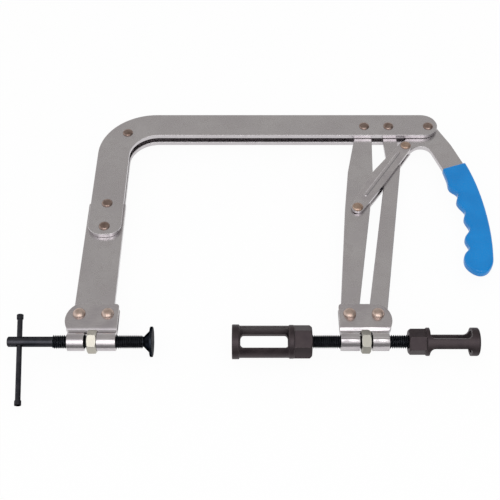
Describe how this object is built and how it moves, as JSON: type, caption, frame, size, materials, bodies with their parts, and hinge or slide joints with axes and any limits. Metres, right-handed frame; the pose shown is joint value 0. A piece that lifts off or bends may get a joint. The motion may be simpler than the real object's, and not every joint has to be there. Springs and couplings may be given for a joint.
{
  "type": "valve spring compressor",
  "caption": "J-framed lever clamp for compressing valve springs: screw with swivel pad on one leg, over-centre lever, links and parallel arms, windowed cage adapter facing it.",
  "frame": {"origin": "centre of the swivel pad's face, on the screw axis", "axes": "+X along the screw axis from the pad to the cage adapter; +Y from the screws up to the beam; +Z out of the tool's flat side, up when it lies on a bench"},
  "size_m": [0.4642, 0.3622, 0.0318],
  "materials": {
    "frame_steel": "satin nickel-plated flat steel",
    "bracket_steel": "satin plated sheet steel",
    "rivet_steel": "plated rivet heads with a warm tint",
    "nut_zinc": "bright zinc plate",
    "dark_steel": "black oxide, semi-gloss",
    "adapter_steel": "dark phosphated steel, satin",
    "grip_vinyl": "glossy blue dipped vinyl"
  },
  "bodies": {
    "frame": {"front_side_plate": "frame_steel", "rear_side_plate": "frame_steel", "lower_leg": "frame_steel", "corner_spacer": "frame_steel", "frame_rivets": "rivet_steel", "arm_pivot_rivets": "rivet_steel", "lever_pivot_rivet": "rivet_steel", "left_bracket": "bracket_steel", "left_bracket_rivets": "rivet_steel", "left_nut": "nut_zinc"},
    "lever": {"lever_plate": "frame_steel", "handle_grip": "grip_vinyl"},
    "link_pair": {"front_link": "bracket_steel", "rear_link": "bracket_steel", "link_crank_rivet": "rivet_steel", "link_arm_rivet": "rivet_steel"},
    "inner_arm": {"inner_arm": "frame_steel"},
    "outer_arm": {"outer_arm": "frame_steel"},
    "right_bracket": {"right_bracket": "bracket_steel", "right_bracket_rivets": "rivet_steel", "right_nut": "nut_zinc"},
    "stud": {"adapter_stud": "dark_steel"},
    "cage": {"cage_adapter": "adapter_steel"},
    "small_adapter": {"two_leg_adapter": "adapter_steel"},
    "pad": {"swivel_pad": "dark_steel"},
    "spindle": {"forcing_spindle": "dark_steel"},
    "tommy_bar": {"tommy_bar": "dark_steel", "tommy_bar_caps": "dark_steel"}
  },
  "joints": [
    {"name": "lever_swing", "type": "hinge", "parent": "frame", "child": "lever", "pos_m": [0.2848, 0.28345, 0], "axis": [0, 0, 1], "range_deg": [0, 60]},
    {"name": "link_swing", "type": "hinge", "parent": "lever", "child": "link_pair", "pos_m": [0.25739, 0.25466, 0], "axis": [0, 0, 1], "range_deg": [-69.8, 0]},
    {"name": "inner_arm_swing", "type": "hinge", "parent": "frame", "child": "inner_arm", "pos_m": [0.2145, 0.28345, 0], "axis": [0, 0, 1], "range_deg": [0, 11.5]},
    {"name": "outer_arm_swing", "type": "hinge", "parent": "frame", "child": "outer_arm", "pos_m": [0.2411, 0.28345, 0], "axis": [0, 0, 1], "range_deg": [0, 11.5]},
    {"name": "bracket_swing", "type": "hinge", "parent": "inner_arm", "child": "right_bracket", "pos_m": [0.18208, 0.0286, 0], "axis": [0, 0, 1], "range_deg": [-11.5, 0]},
    {"name": "stud_travel", "type": "slide", "parent": "right_bracket", "child": "stud", "axis": [1, 0, 0], "range_m": [-0.015, 0.0256]},
    {"name": "cage_turn", "type": "hinge", "parent": "stud", "child": "cage", "pos_m": [0.1, 0, 0], "axis": [1, 0, 0], "range_deg": [-2760, 4710]},
    {"name": "adapter_turn", "type": "hinge", "parent": "stud", "child": "small_adapter", "pos_m": [0.26, 0, 0], "axis": [1, 0, 0], "range_deg": [-2760, 4710]},
    {"name": "pad_travel", "type": "slide", "parent": "frame", "child": "pad", "axis": [1, 0, 0], "range_m": [-0.0235, 0.0314]},
    {"name": "spindle_turn", "type": "hinge", "parent": "pad", "child": "spindle", "pos_m": [-0.05, 0, 0], "axis": [1, 0, 0], "range_deg": [-4325, 5780]},
    {"name": "tommy_bar_slide", "type": "slide", "parent": "spindle", "child": "tommy_bar", "axis": [0.0837, -0.9743, -0.2092], "range_m": [-0.0518, 0.0176]}
  ],
  "couplings": [
    {"joint": "link_swing", "follows": "lever_swing", "ratio": -1.16},
    {"joint": "inner_arm_swing", "follows": "lever_swing", "ratio": 0.19},
    {"joint": "outer_arm_swing", "follows": "lever_swing", "ratio": 0.19},
    {"joint": "bracket_swing", "follows": "lever_swing", "ratio": -0.19},
    {"joint": "stud_travel", "follows": "cage_turn", "m_per_rad": 0.00031096},
    {"joint": "adapter_turn", "follows": "cage_turn", "ratio": 1},
    {"joint": "pad_travel", "follows": "spindle_turn", "m_per_rad": 0.00031096}
  ]
}
